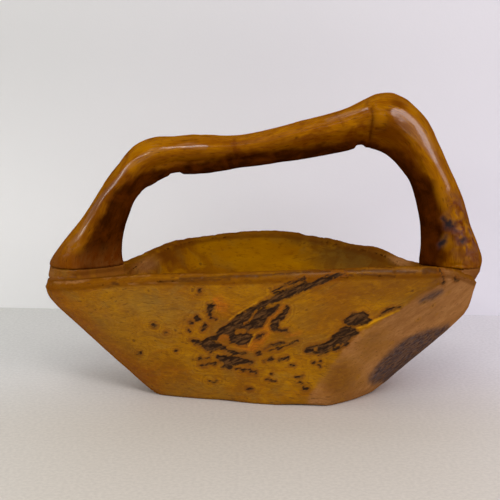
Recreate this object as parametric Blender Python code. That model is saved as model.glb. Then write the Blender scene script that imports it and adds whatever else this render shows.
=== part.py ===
"""A basket carved from one lump of burl wood, with a bent branch as its handle.

The bowl is cut with broad flat facets outside and hollowed to an even wall, and its two ends stay
solid. Each end rises in a short stump with a flat seat, where a foot of the branch stands, flush
all round, on two glued dowels.

+X runs along the basket, +Y to its back, +Z up, in metres. The origin is on the floor, under the
middle of the basket's box.
"""

import math

import bmesh
import bpy
import numpy as np

# The bowl's outside: the rim's own length and width, its highest point, and the flat base.
BOWL_LENGTH = 0.354
BOWL_WIDTH = 0.207
RIM_HEIGHT = 0.120
BASE_LENGTH = 0.183
BASE_WIDTH = 0.135
BASE_EASING = 0.0015  # the base's edge, rounded off against the floor
RIM_CHAMFER_HEIGHT = 0.0055  # the bright bevel along the outer edge of the rim
RIM_CHAMFER_WIDTH = 0.0035

# The bowl's inside.
WALL = 0.0085
FLOOR_THICKNESS = 0.014
INNER_CHAMFER = 0.002
BLOCK_SHOULDER = 0.003  # wood that shows between each foot and the hollow

# The handle: a branch whose feet stand in from the bowl's ends and whose knees rise over the seats.
BRANCH_THICKNESS = 0.030
BRANCH_RISE = 0.117
LEFT_FOOT_INSET = 0.0318
RIGHT_FOOT_INSET = 0.0206
SEAT_LIFT = 0.011  # the seats' height over the rim's left end
HANDLE_FORWARD = 0.0085  # the branch stands this far in front of the bowl's middle

# The joint at each foot.
DOWEL_DIAMETER = 0.010
DOWEL_LENGTH = 0.040
DOWEL_CHAMFER = 0.0012
DOWEL_SPACING = 0.024
LEFT_DOWEL_SHIFT = 0.004  # the dowels keep to the middle of the leg, which leans in over its foot
RIGHT_DOWEL_SHIFT = -0.003
CLEARANCE = 0.0003  # between pieces that touch

OVERRUN = 0.010  # how far a cut runs on past the wood
RING_STEP = 0.0085  # the longest facet along the rim

BASE_ROWS = 7
FLANK_ROWS = 5
HOLLOW_ROWS = 10
DECK_ROWS = 4
BRANCH_RINGS = 62
BRANCH_SIDES = 28
DOWEL_SIDES = 24

# The bowl's columns, from the left tip along the front and round the back. Each has its rim point,
# the knee where its flank turns in, and its base point: x and y in half lengths and half widths
# from the bowl's middle, of the rim for the first two and of the base for the last, and z in rim
# heights. The wood between two columns is a flat facet, and ridges run where columns stand out.
COLUMN_SHARES = (
    ((-1.02, -0.22, 0.77), (-1.01, -0.20, 0.67), (-1.02, -0.36)),
    ((-0.98, -0.39, 0.79), (-0.97, -0.37, 0.64), (-0.98, -0.61)),
    ((-0.74, -0.52, 0.84), (-0.66, -0.50, 0.47), (-0.62, -0.76)),
    ((-0.54, -0.59, 0.88), (-0.46, -0.58, 0.47), (-0.39, -0.83)),
    ((-0.22, -0.70, 0.90), (-0.19, -0.66, 0.47), (-0.09, -0.96)),
    ((0.12, -0.82, 0.94), (0.07, -0.75, 0.47), (0.13, -1.02)),
    ((0.48, -0.92, 0.98), (0.26, -0.81, 0.46), (0.34, -1.04)),
    ((0.77, -0.99, 1.00), (0.38, -0.83, 0.44), (0.57, -1.07)),
    ((0.88, -0.64, 0.92), (0.68, -0.53, 0.47), (0.83, -0.80)),
    ((1.00, -0.26, 0.80), (0.98, -0.20, 0.53), (1.04, -0.46)),
    ((0.98, 0.14, 0.78), (0.95, 0.13, 0.55), (1.02, 0.17)),
    ((0.79, 0.42, 0.78), (0.71, 0.40, 0.50), (0.82, 0.62)),
    ((0.62, 0.69, 0.82), (0.55, 0.64, 0.48), (0.61, 0.82)),
    ((0.32, 0.96, 0.90), (0.28, 0.86, 0.47), (0.33, 0.94)),
    ((0.07, 1.00, 0.94), (0.06, 0.88, 0.47), (0.04, 0.97)),
    ((-0.22, 0.96, 0.92), (-0.19, 0.87, 0.47), (-0.24, 0.94)),
    ((-0.44, 0.82, 0.89), (-0.40, 0.74, 0.48), (-0.53, 0.82)),
    ((-0.68, 0.40, 0.80), (-0.62, 0.37, 0.52), (-0.83, 0.41)),
    ((-0.95, 0.13, 0.77), (-0.93, 0.11, 0.63), (-1.00, -0.01)),
)
RIM_EASING_COUNT = 2
FLANK_EASING_COUNT = 2
HOLLOW_EASING_COUNT = 6

# The hollow: how much narrower its floor is than its wall, how fast the wall rounds into it, how
# much shorter it is at the floor than between the feet, and how square its ends are.
HOLLOW_FLOOR_SHARE = 0.78
HOLLOW_ROUNDING_SHARE = 3.0
HOLLOW_FLOOR_LENGTH_SHARE = 0.74
HOLLOW_SQUARENESS_SHARE = 7.0

# How square to a line from the bowl's middle a rim may count as, where it turns away from it most.
LEAST_FACING_SHARE = 0.5

# The branch's stations, from its left root over both knees to its right root: x in spans between
# the feet, z in rises over the seats, then half its thickness seen from the front, half its depth
# and its sway to the back, in half thicknesses. It runs on below the seats as the bowl's stumps.
BRANCH_SHARES = (
    (0.002, -0.15, 1.75, 1.47, 0.00),
    (0.001, -0.07, 2.12, 1.67, 0.00),
    (0.003, 0.00, 2.10, 1.67, -0.03),
    (0.010, 0.04, 1.93, 1.60, -0.07),
    (0.017, 0.10, 1.70, 1.47, -0.10),
    (0.031, 0.19, 1.42, 1.30, -0.13),
    (0.051, 0.30, 1.17, 1.17, -0.20),
    (0.073, 0.42, 1.04, 1.10, -0.20),
    (0.097, 0.53, 0.95, 1.07, -0.20),
    (0.128, 0.625, 0.99, 1.10, -0.13),
    (0.164, 0.715, 1.14, 1.15, -0.07),
    (0.207, 0.765, 1.12, 1.15, 0.00),
    (0.249, 0.775, 1.00, 1.10, 0.07),
    (0.300, 0.78, 1.03, 1.10, 0.13),
    (0.359, 0.785, 0.96, 1.10, 0.17),
    (0.422, 0.80, 0.87, 1.07, 0.17),
    (0.488, 0.825, 0.92, 1.07, 0.13),
    (0.554, 0.86, 1.00, 1.10, 0.07),
    (0.620, 0.90, 1.04, 1.13, 0.03),
    (0.683, 0.935, 1.08, 1.17, 0.00),
    (0.726, 0.965, 1.10, 1.23, 0.00),
    (0.763, 0.99, 1.33, 1.33, 0.00),
    (0.804, 1.01, 1.62, 1.47, 0.00),
    (0.843, 0.965, 1.56, 1.50, 0.00),
    (0.877, 0.88, 1.41, 1.43, -0.03),
    (0.902, 0.785, 1.26, 1.33, -0.07),
    (0.929, 0.67, 1.15, 1.27, -0.10),
    (0.950, 0.555, 1.18, 1.27, -0.10),
    (0.966, 0.44, 1.26, 1.30, -0.10),
    (0.979, 0.31, 1.33, 1.37, -0.07),
    (0.988, 0.20, 1.42, 1.43, -0.07),
    (0.997, 0.09, 1.64, 1.53, -0.03),
    (1.001, 0.04, 1.73, 1.60, 0.00),
    (0.998, -0.02, 1.67, 1.60, 0.00),
    (0.993, -0.08, 1.49, 1.47, 0.00),
    (0.985, -0.15, 1.27, 1.27, 0.00),
)
BRANCH_SQUARENESS_SHARE = 2.3

# Along its front the branch is hewn to a ridge. Over the ridge the wood keeps its round, and under
# it a broad face leans back to the inner edge: the ridge's height over the branch's middle, in half
# thicknesses, and how much of the round's depth the inner edge loses.
BRANCH_RIDGE_SHARE = 0.3
BRANCH_HEWN_SHARE = 0.72

BRANCH_TURNING_COUNT = 5  # spreads the turn of the rings at the knees, so that none cross
BRANCH_STATION_COUNT = 12  # points of the smooth curve between two stations

# The finishes.
BURL_COLOUR = (0.36, 0.15, 0.02)
BURL_ROUGHNESS = 0.35
BRANCH_COLOUR = (0.42, 0.15, 0.02)
BRANCH_ROUGHNESS = 0.22
DOWEL_COLOUR = (0.62, 0.42, 0.22)
DOWEL_ROUGHNESS = 0.6
SHARP_EDGE_DEGREES = 35


def seat_half(leg):
    """Half the branch's thickness where the stations of one leg pass its seat."""
    by_height = sorted((z, in_plane) for _, z, in_plane, _, _ in leg)
    heights, halves = zip(*by_height)
    return BRANCH_THICKNESS / 2 * float(np.interp(0, heights, halves))


# Worked out from the sizes above.
SEAT_HEIGHT = RIM_HEIGHT * COLUMN_SHARES[0][0][2] + SEAT_LIFT
LEFT_FOOT_X = -BOWL_LENGTH / 2 + LEFT_FOOT_INSET
RIGHT_FOOT_X = BOWL_LENGTH / 2 - RIGHT_FOOT_INSET
LEFT_FOOT_HALF = seat_half(BRANCH_SHARES[: len(BRANCH_SHARES) // 2])
RIGHT_FOOT_HALF = seat_half(BRANCH_SHARES[len(BRANCH_SHARES) // 2 :])
DOWEL_PLACES = {
    "dowel_left_outer": LEFT_FOOT_X + LEFT_DOWEL_SHIFT - DOWEL_SPACING / 2,
    "dowel_left_inner": LEFT_FOOT_X + LEFT_DOWEL_SHIFT + DOWEL_SPACING / 2,
    "dowel_right_inner": RIGHT_FOOT_X + RIGHT_DOWEL_SHIFT - DOWEL_SPACING / 2,
    "dowel_right_outer": RIGHT_FOOT_X + RIGHT_DOWEL_SHIFT + DOWEL_SPACING / 2,
}


def clear_scene():
    for obj in list(bpy.data.objects):
        bpy.data.objects.remove(obj, do_unlink=True)


def wood(name, colour, roughness):
    """A material with one of the basket's wood colours."""
    material = bpy.data.materials.new(name)
    material.use_nodes = True
    shader = material.node_tree.nodes["Principled BSDF"]
    shader.inputs["Base Color"].default_value = (*colour, 1)
    shader.inputs["Roughness"].default_value = roughness
    shader.inputs["Metallic"].default_value = 0
    return material


def add_object(name, bm, origin, material=None):
    """A mesh object under the basket's empty. Without a material it is a cutter or a guide."""
    bmesh.ops.recalc_face_normals(bm, faces=bm.faces)
    mesh = bpy.data.meshes.new(name)
    bm.to_mesh(mesh)
    bm.free()
    obj = bpy.data.objects.new(name, mesh)
    bpy.context.scene.collection.objects.link(obj)
    obj.parent = origin
    if material is None:
        obj.hide_render = True
        obj.display_type = "WIRE"
    else:
        mesh.materials.append(material)
        mesh.shade_smooth()
        mesh.set_sharp_from_angle(angle=math.radians(SHARP_EDGE_DEGREES))
    return obj


def add_boolean(obj, operation, other):
    modifier = obj.modifiers.new(f"{operation.lower()}_{other.name}", "BOOLEAN")
    modifier.operation = operation
    modifier.solver = "EXACT"
    modifier.object = other


def loft(rings, middle_above=False):
    """A closed mesh through rings of equally many points, with a flat face at its first ring and,
    at its last, a flat face or a fan to the middle."""
    bm = bmesh.new()
    rows = [[bm.verts.new(point) for point in ring] for ring in rings]
    count = len(rows[0])
    for low, high in zip(rows, rows[1:]):
        for i in range(count):
            j = (i + 1) % count
            bm.faces.new((low[i], low[j], high[j], high[i]))
    bm.faces.new(reversed(rows[0]))
    if middle_above:
        middle = bm.verts.new(np.mean(rings[-1], axis=0))
        for i in range(count):
            bm.faces.new((rows[-1][i], rows[-1][(i + 1) % count], middle))
    else:
        bm.faces.new(rows[-1])
    return bm


def eased(points, passes, closed):
    """Rows of points pulled towards their neighbours, which rounds a ridge. Open ends stay."""
    points = np.array(points, float)
    for _ in range(passes):
        before = np.roll(points, 1, axis=0)
        after = np.roll(points, -1, axis=0)
        moved = (before + 2 * points + after) / 4
        if closed:
            points = moved
        else:
            points[1:-1] = moved[1:-1]
    return points


def bowl_columns():
    """The columns in metres, as one array of rim, knee and base points."""
    rim_size = np.array([BOWL_LENGTH / 2, BOWL_WIDTH / 2, RIM_HEIGHT])
    base_size = np.array([BASE_LENGTH / 2, BASE_WIDTH / 2, 0])
    columns = [
        (rim * rim_size, knee * rim_size, np.array([*base, 0]) * base_size)
        for rim, knee, base in COLUMN_SHARES
    ]
    return np.array(columns)


def bowl_flanks():
    """The outside of the bowl: for each point round it, its points from the base to the rim's bevel."""
    columns = bowl_columns()
    around = []
    for column, after in zip(columns, np.roll(columns, -1, axis=0)):
        steps = max(1, round(float(np.linalg.norm(after[0] - column[0])) / RING_STEP))
        around += [column + (after - column) * k / steps for k in range(steps)]
    around = eased(around, RIM_EASING_COUNT, closed=True)
    flanks = []
    for rim, knee, base in around:
        top = rim - (0, 0, RIM_CHAMFER_HEIGHT)
        low = [base + (knee - base) * k / BASE_ROWS for k in range(BASE_ROWS)]
        high = [knee + (top - knee) * k / FLANK_ROWS for k in range(FLANK_ROWS + 1)]
        flanks.append(eased(low + high, FLANK_EASING_COUNT, closed=False))
    return np.array(flanks)


def towards_middle(ring, distance):
    """The ring moved in plan by a distance across the wood, along lines to the bowl's middle."""
    flat = ring[:, :2]
    along = np.roll(flat, -1, axis=0) - np.roll(flat, 1, axis=0)
    along /= np.linalg.norm(along, axis=1, keepdims=True)
    outward = np.column_stack([along[:, 1], -along[:, 0]])
    radial = flat / np.linalg.norm(flat, axis=1, keepdims=True)
    facing = np.maximum(np.sum(outward * radial, axis=1, keepdims=True), LEAST_FACING_SHARE)
    moved = ring.copy()
    moved[:, :2] -= radial * distance / facing
    return moved


def bowl_body(origin, material):
    """The carved lump before it is hollowed: base, flanks, the rim's bevel and the deck on top."""
    rows = list(np.swapaxes(bowl_flanks(), 0, 1))
    sole = towards_middle(rows[0], BASE_EASING)
    rows[0] = rows[0] + (0, 0, BASE_EASING)
    crest = towards_middle(rows[-1], RIM_CHAMFER_WIDTH) + (0, 0, RIM_CHAMFER_HEIGHT)
    middle = crest.mean(axis=0)
    deck = [crest + (middle - crest) * k / (DECK_ROWS + 1) for k in range(DECK_ROWS + 1)]
    return add_object("bowl", loft([sole, *rows, *deck], middle_above=True), origin, material)


def hollow_cutter(origin):
    """The hollow: one wall in from the flanks, drawn in to a flat floor and to the end blocks."""
    flanks = bowl_flanks()
    left = LEFT_FOOT_X + LEFT_FOOT_HALF + BLOCK_SHOULDER
    right = RIGHT_FOOT_X - RIGHT_FOOT_HALF - BLOCK_SHOULDER
    middle = np.array([(left + right) / 2, 0])
    rings = []
    for row in range(HOLLOW_ROWS + 1):
        share = row / HOLLOW_ROWS
        ring = []
        for flank in flanks:
            top = flank[-1, 2] + RIM_CHAMFER_HEIGHT - INNER_CHAMFER
            z = FLOOR_THICKNESS + (top - FLOOR_THICKNESS) * share
            x, y = (np.interp(z, flank[:, 2], flank[:, axis]) for axis in (0, 1))
            ring.append((x, y, z))
        ring = towards_middle(np.array(ring), WALL)
        ring = eased(ring, HOLLOW_EASING_COUNT, closed=True)
        reach = ring[:, :2] - middle
        reach *= 1 - (1 - HOLLOW_FLOOR_SHARE) * (1 - share) ** HOLLOW_ROUNDING_SHARE
        length_share = HOLLOW_FLOOR_LENGTH_SHARE + (1 - HOLLOW_FLOOR_LENGTH_SHARE) * share
        most = (right - left) / 2 * length_share
        over = (np.abs(reach[:, :1]) / most) ** HOLLOW_SQUARENESS_SHARE
        ring[:, :2] = middle + reach * (1 + over) ** (-1 / HOLLOW_SQUARENESS_SHARE)
        rings.append(ring)
    mouth = towards_middle(rings[-1] + (0, 0, INNER_CHAMFER), -INNER_CHAMFER)
    above = mouth.copy()
    above[:, 2] = RIM_HEIGHT + OVERRUN
    return add_object("hollow_cutter", loft([*rings, mouth, above]), origin)


def smooth_through(stations, count):
    """As many points as asked, evenly spaced along a smooth curve through the stations."""
    stations = np.array(stations)
    padded = np.vstack([2 * stations[0] - stations[1], stations, 2 * stations[-1] - stations[-2]])
    fine = []
    for before, start, end, after in zip(padded, padded[1:], padded[2:], padded[3:]):
        for t in np.linspace(0, 1, BRANCH_STATION_COUNT, endpoint=False):
            fine.append(
                start
                + (end - before) * t / 2
                + (2 * before - 5 * start + 4 * end - after) * t**2 / 2
                + (3 * start - before - 3 * end + after) * t**3 / 2
            )
    fine = np.array([*fine, stations[-1]])
    lengths = np.linalg.norm(np.diff(fine[:, :2], axis=0), axis=1)
    travel = np.concatenate([[0], np.cumsum(lengths)])
    wanted = np.linspace(0, travel[-1], count)
    return np.column_stack([np.interp(wanted, travel, column) for column in fine.T])


def branch():
    """The whole bent branch, from root to root, as a mesh."""
    half = BRANCH_THICKNESS / 2
    span = RIGHT_FOOT_X - LEFT_FOOT_X
    stations = [
        (LEFT_FOOT_X + x * span, SEAT_HEIGHT + z * BRANCH_RISE, in_plane * half, depth * half, sway * half)
        for x, z, in_plane, depth, sway in BRANCH_SHARES
    ]
    path = smooth_through(stations, BRANCH_RINGS)
    ahead = eased(np.gradient(path[:, :2], axis=0), BRANCH_TURNING_COUNT, closed=False)
    ahead /= np.linalg.norm(ahead, axis=1, keepdims=True)
    rings = []
    for (x, z, in_plane, depth, sway), (run, rise) in zip(path, ahead):
        ring = []
        for k in range(BRANCH_SIDES):
            angle = math.tau * k / BRANCH_SIDES
            up, back = math.cos(angle), math.sin(angle)
            round_off = (abs(up) ** BRANCH_SQUARENESS_SHARE + abs(back) ** BRANCH_SQUARENESS_SHARE) ** (
                -1 / BRANCH_SQUARENESS_SHARE
            )
            up, back = up * round_off, back * round_off
            under_ridge = max(0, BRANCH_RIDGE_SHARE - up) / (1 + BRANCH_RIDGE_SHARE)
            if back < 0:
                back *= 1 - BRANCH_HEWN_SHARE * under_ridge
            up, back = up * in_plane, back * depth
            ring.append((x - rise * up, sway - HANDLE_FORWARD + back, z + run * up))
        rings.append(ring)
    return loft(rings)


def cut_flat(bm, height, keep_above):
    """The mesh cut flat at a height, with the cut closed."""
    cut = bmesh.ops.bisect_plane(
        bm,
        geom=[*bm.verts, *bm.edges, *bm.faces],
        plane_co=(0, 0, height),
        plane_no=(0, 0, 1),
        clear_inner=keep_above,
        clear_outer=not keep_above,
    )
    edges = [item for item in cut["geom_cut"] if isinstance(item, bmesh.types.BMEdge)]
    bmesh.ops.holes_fill(bm, edges=edges, sides=0)
    return bm


def cylinder(radius, length, chamfer, middles):
    """Upright round pins about the given middles, their ends chamfered, as one mesh."""
    bm = bmesh.new()
    profile = (
        (radius - chamfer, -length / 2),
        (radius, -length / 2 + chamfer),
        (radius, length / 2 - chamfer),
        (radius - chamfer, length / 2),
    )
    for x, y, z in middles:
        rings = [
            [
                (
                    x + size * math.cos(math.tau * k / DOWEL_SIDES),
                    y + size * math.sin(math.tau * k / DOWEL_SIDES),
                    z + height,
                )
                for k in range(DOWEL_SIDES)
            ]
            for size, height in profile
        ]
        pin = loft(rings)
        mesh = bpy.data.meshes.new("pin")
        pin.to_mesh(mesh)
        pin.free()
        bm.from_mesh(mesh)
        bpy.data.meshes.remove(mesh)
    return bm


def dowel_holes(origin):
    """The bores of all four dowels, in the stumps and in the feet alike."""
    middles = [(x, -HANDLE_FORWARD, SEAT_HEIGHT + CLEARANCE / 2) for x in DOWEL_PLACES.values()]
    radius = DOWEL_DIAMETER / 2 + CLEARANCE
    length = DOWEL_LENGTH + 2 * CLEARANCE
    return add_object("dowel_holes", cylinder(radius, length, DOWEL_CHAMFER, middles), origin)


def add_bowl(origin, holes):
    material = wood("burl_wood", BURL_COLOUR, BURL_ROUGHNESS)
    bowl = bowl_body(origin, material)
    add_boolean(bowl, "DIFFERENCE", hollow_cutter(origin))
    stumps = cut_flat(branch(), SEAT_HEIGHT, keep_above=False)
    add_boolean(bowl, "UNION", add_object("stumps", stumps, origin))
    add_boolean(bowl, "DIFFERENCE", holes)
    return bowl


def add_handle(origin, holes):
    material = wood("branch_wood", BRANCH_COLOUR, BRANCH_ROUGHNESS)
    mesh = cut_flat(branch(), SEAT_HEIGHT + CLEARANCE, keep_above=True)
    handle = add_object("handle", mesh, origin, material)
    add_boolean(handle, "DIFFERENCE", holes)
    return handle


def add_dowels(origin):
    material = wood("dowel_wood", DOWEL_COLOUR, DOWEL_ROUGHNESS)
    for name, x in DOWEL_PLACES.items():
        pin = cylinder(DOWEL_DIAMETER / 2, DOWEL_LENGTH, DOWEL_CHAMFER, [(0, 0, 0)])
        dowel = add_object(name, pin, origin, material)
        dowel.location = (x, -HANDLE_FORWARD, SEAT_HEIGHT + CLEARANCE / 2)


def stand_on_origin(origin, pieces):
    """Moves the whole basket so that the middle of its box is over the origin."""
    bpy.context.view_layer.update()
    points = np.array([vertex.co for piece in pieces for vertex in piece.data.vertices])
    middle = (points.min(axis=0) + points.max(axis=0)) / 2
    origin.location = (-middle[0], -middle[1], 0)


def build():
    clear_scene()
    origin = bpy.data.objects.new("basket", None)
    bpy.context.scene.collection.objects.link(origin)
    holes = dowel_holes(origin)
    bowl = add_bowl(origin, holes)
    handle = add_handle(origin, holes)
    add_dowels(origin)
    stand_on_origin(origin, [bowl, handle])


build()
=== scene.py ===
"""A basket carved from burl wood, with a bent branch as its handle, on a pale floor by a pale wall.

Everything is in metres: +X along the basket, +Y to its back, +Z up, with the floor at zero.
"""

import math

import bmesh
import bpy
import numpy as np
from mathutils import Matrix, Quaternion, Vector, noise
from mathutils.bvhtree import BVHTree
from mathutils.kdtree import KDTree


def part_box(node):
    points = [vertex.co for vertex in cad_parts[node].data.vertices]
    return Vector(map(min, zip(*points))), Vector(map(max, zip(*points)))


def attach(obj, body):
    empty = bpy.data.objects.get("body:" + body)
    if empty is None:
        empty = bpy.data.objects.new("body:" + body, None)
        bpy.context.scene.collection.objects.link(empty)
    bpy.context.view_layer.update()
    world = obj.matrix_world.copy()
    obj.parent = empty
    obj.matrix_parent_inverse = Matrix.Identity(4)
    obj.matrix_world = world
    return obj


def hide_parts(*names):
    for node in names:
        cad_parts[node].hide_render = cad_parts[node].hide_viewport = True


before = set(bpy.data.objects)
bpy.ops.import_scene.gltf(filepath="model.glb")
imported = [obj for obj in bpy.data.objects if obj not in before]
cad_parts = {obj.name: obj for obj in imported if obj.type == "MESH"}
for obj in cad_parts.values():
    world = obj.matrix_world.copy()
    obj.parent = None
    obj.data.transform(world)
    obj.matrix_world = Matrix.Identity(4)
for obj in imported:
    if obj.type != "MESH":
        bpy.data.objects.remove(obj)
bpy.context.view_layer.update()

# The view. The camera stands a metre in front of the basket and looks 11 degrees down on it, as in
# the photograph. Places on the wood that were read off the photograph are in its pixels, 500 each
# way, and this section also turns a point of the model into them.
PHOTO_SIDE = 500
PHOTO_FOCAL = 1205
CAMERA_PLACE = np.array([-0.0122, -0.9912, 0.3058])
CAMERA_PITCH = math.radians(11)

scene = bpy.context.scene
scene.view_settings.view_transform = "Standard"
camera = bpy.data.objects.new("camera", bpy.data.cameras.new("camera"))
scene.collection.objects.link(camera)
scene.camera = camera
camera.location = CAMERA_PLACE
camera.rotation_euler = (math.pi / 2 - CAMERA_PITCH, 0, 0)
camera.data.lens = camera.data.sensor_width * PHOTO_FOCAL / PHOTO_SIDE


def photo_place(points):
    """Where points of the model show in the photograph, in pixels across and down."""
    reach = points - CAMERA_PLACE
    cosine, sine = math.cos(CAMERA_PITCH), math.sin(CAMERA_PITCH)
    depth = reach[:, 1] * cosine - reach[:, 2] * sine
    height = reach[:, 1] * sine + reach[:, 2] * cosine
    across = PHOTO_SIDE / 2 + PHOTO_FOCAL * reach[:, 0] / depth
    down = PHOTO_SIDE / 2 - PHOTO_FOCAL * height / depth
    return across, down


# The room: a painted floor and wall, pale grey, with painted light that makes them brighter and a little
# violet to the right, lit softly from the upper left and by a second window on the right. The wall shows
# from the front only, so that the basket can be looked at from behind.


def paint(red, green, blue):
    """A colour written in 0 to 255, as the shader takes it."""
    channels = [value / 255 for value in (red, green, blue)]
    linear = [c / 12.92 if c <= 0.04045 else ((c + 0.055) / 1.055) ** 2.4 for c in channels]
    return (*linear, 1)


WALL_DISTANCE = 0.241
WALL_TURN = math.radians(-3.9)
HALF_ROOM = 2.5
FLOOR_COLOUR = paint(207, 207, 203)
FLOOR_LIT_RIGHT = paint(225, 221, 225)
FLOOR_SHADE_AND_BOUNCE = paint(196, 189, 176)
WALL_COLOUR = paint(213, 214, 213)
WALL_LIT_LOW = paint(240, 241, 240)
WALL_LIT_RIGHT = paint(222, 220, 227)
WALL_LIT_RIGHT_LOW = paint(228, 226, 235)
BACKDROP_COLOUR = paint(206, 207, 207)
SKY_COLOUR = (0.96, 0.98, 1, 1)
SKY_STRENGTH = 0.395
TINT_HALF_WIDTH = 0.35


def put(tree, kind, values=None, **settings):
    """What comes out of a new node. Its kind is given without the word ShaderNode, and its inputs
    are either values or the sockets that feed them."""
    node = tree.nodes.new(kind if kind.startswith("NodeGroup") else f"ShaderNode{kind}")
    for name, value in settings.items():
        setattr(node, name, value)
    for key, value in (values or {}).items():
        if isinstance(value, bpy.types.NodeSocket):
            tree.links.new(value, node.inputs[key])
        else:
            node.inputs[key].default_value = value
    return node.outputs


def maths(tree, operation, *values):
    """The result of a Math node."""
    return put(tree, "Math", dict(enumerate(values)), operation=operation)[0]


def product(tree, first, second):
    return maths(tree, "MULTIPLY", first, second)


def ramp(tree, value, low, high, start=0.0, end=1.0):
    """A value that goes smoothly from start to end as another goes from low to high."""
    inputs = {"Value": value, "From Min": low, "From Max": high, "To Min": start, "To Max": end}
    return put(tree, "MapRange", inputs, interpolation_type="SMOOTHSTEP")[0]


def mixed(tree, factor, first, second, blend="MIX"):
    """Two colours, mixed."""
    return put(tree, "Mix", {0: factor, 6: first, 7: second}, data_type="RGBA", blend_type=blend)[2]


def noise_at(tree, place, scale, detail, roughness=0.5, distortion=0.0):
    """Noise, as a value and as a colour of three values."""
    inputs = {"Vector": place, "Scale": scale, "Detail": detail, "Roughness": roughness}
    return put(tree, "TexNoise", {**inputs, "Distortion": distortion})


def bumped(tree, height, strength, distance):
    inputs = {"Height": height, "Strength": strength, "Distance": distance}
    return put(tree, "Bump", inputs)[0]


def new_material(name):
    material = bpy.data.materials.new(name)
    material.use_nodes = True
    tree = material.node_tree
    tree.nodes.clear()
    return material, tree


def room_material(name, colour_left, colour_right, one_sided):
    """Matt paint with a faint unevenness, and painted light that turns it brighter and more violet to the
    right.
    """
    material, tree = new_material(name)
    place = put(tree, "TexCoord")["Object"]
    axes = put(tree, "SeparateXYZ", {0: place})
    tint = ramp(tree, axes["X"], -TINT_HALF_WIDTH, TINT_HALF_WIDTH)
    shade = ramp(tree, noise_at(tree, place, 3.0, 2.0)[0], 0.2, 0.8, 0.985, 1.015)
    colour = mixed(tree, 1.0, mixed(tree, tint, colour_left, colour_right), shade, "MULTIPLY")
    rolled = noise_at(tree, place, 350.0, 3.0)[0]
    if one_sided:
        # Painted light: the wall turns lighter towards its foot.
        lit_low_colour = mixed(tree, tint, WALL_LIT_LOW, WALL_LIT_RIGHT_LOW)
        colour = mixed(tree, ramp(tree, axes["Z"], 0.30, 0.07), colour, lit_low_colour)
    else:
        # Painted shadow and bounce light: the floor is darker and warmer in front of the basket, most in the
        # middle.
        aside = ramp(tree, maths(tree, "ABSOLUTE", axes["X"]), 0.12, 0.32, 0.85, 0.45)
        near = product(tree, ramp(tree, axes["Y"], 0.06, -0.14), aside)
        colour = mixed(tree, near, colour, FLOOR_SHADE_AND_BOUNCE)
        grit = ramp(tree, rolled, 0.3, 0.7, 0.945, 1.055)
        colour = mixed(tree, 1.0, colour, grit, "MULTIPLY")
    inputs = {"Base Color": colour, "Roughness": 0.55, "Normal": bumped(tree, rolled, 0.12, 0.0006)}
    surface = put(tree, "BsdfPrincipled", inputs)[0]
    if one_sided:
        back = put(tree, "NewGeometry")["Backfacing"]
        clear = put(tree, "BsdfTransparent")[0]
        surface = put(tree, "MixShader", {0: back, 1: surface, 2: clear})[0]
    put(tree, "OutputMaterial", {"Surface": surface})
    return material


def room_plane(name, near, far, low, high, material):
    """A plane across the room, from one Y and Z to another."""
    mesh = bpy.data.meshes.new(name)
    left, right = -HALF_ROOM, HALF_ROOM
    corners = [(left, near, low), (right, near, low), (right, far, high), (left, far, high)]
    mesh.from_pydata(corners, [], [(0, 1, 2, 3)])
    mesh.materials.append(material)
    plane = bpy.data.objects.new(name, mesh)
    scene.collection.objects.link(plane)
    return plane


floor_paint = room_material("floor_paint", FLOOR_COLOUR, FLOOR_LIT_RIGHT, one_sided=False)
room_plane("floor", -HALF_ROOM, HALF_ROOM, 0, 0, floor_paint)
wall_paint = room_material("wall_paint", WALL_COLOUR, WALL_LIT_RIGHT, one_sided=True)
wall = room_plane("wall", 0, 0, 0, HALF_ROOM, wall_paint)
wall.location = (0, WALL_DISTANCE, 0)
wall.rotation_euler = (0, 0, WALL_TURN)

world = bpy.data.worlds.new("room_light")
scene.world = world
world.use_nodes = True
sky = world.node_tree
sky.nodes.clear()
path = put(sky, "LightPath")
shown = maths(sky, "MAXIMUM", path["Is Camera Ray"], path["Is Transmission Ray"])
lighting = put(sky, "Background", {"Color": SKY_COLOUR, "Strength": SKY_STRENGTH})[0]
backdrop = put(sky, "Background", {"Color": BACKDROP_COLOUR, "Strength": 1.0})[0]
blended = put(sky, "MixShader", {0: shown, 1: lighting, 2: backdrop})[0]
put(sky, "OutputWorld", {"Surface": blended})

# Each lamp's place, width and height, roll in degrees, power and colour.
LAMPS = {
    "front_window": ((-0.20, -1.05, 1.35), (0.8, 0.30), 0, 5.6, (1, 0.985, 0.96)),
    "left_window": ((-0.85, -0.80, 0.66), (1.7, 0.09), 0, 4.2, (1, 0.97, 0.93)),
    "right_window": ((0.70, -1.00, 0.76), (1.7, 0.50), -36, 9.6, (0.96, 0.89, 0.93)),
    "skylight": ((-0.34, -0.20, 1.45), (0.6, 0.25), 0, 1.6, (1, 0.98, 0.95)),
}
LAMP_AIM = Vector((0, 0, 0.12))
for name, (place, size, roll, power, colour) in LAMPS.items():
    data = bpy.data.lights.new(name, "AREA")
    data.shape = "RECTANGLE"
    data.size, data.size_y = size
    data.energy = power
    data.color = colour
    lamp = bpy.data.objects.new(name, data)
    scene.collection.objects.link(lamp)
    lamp.location = place
    aimed = (LAMP_AIM - Vector(place)).to_track_quat("-Z", "Y")
    lamp.rotation_euler = (aimed @ Quaternion((0, 0, 1), math.radians(roll))).to_euler()

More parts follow.
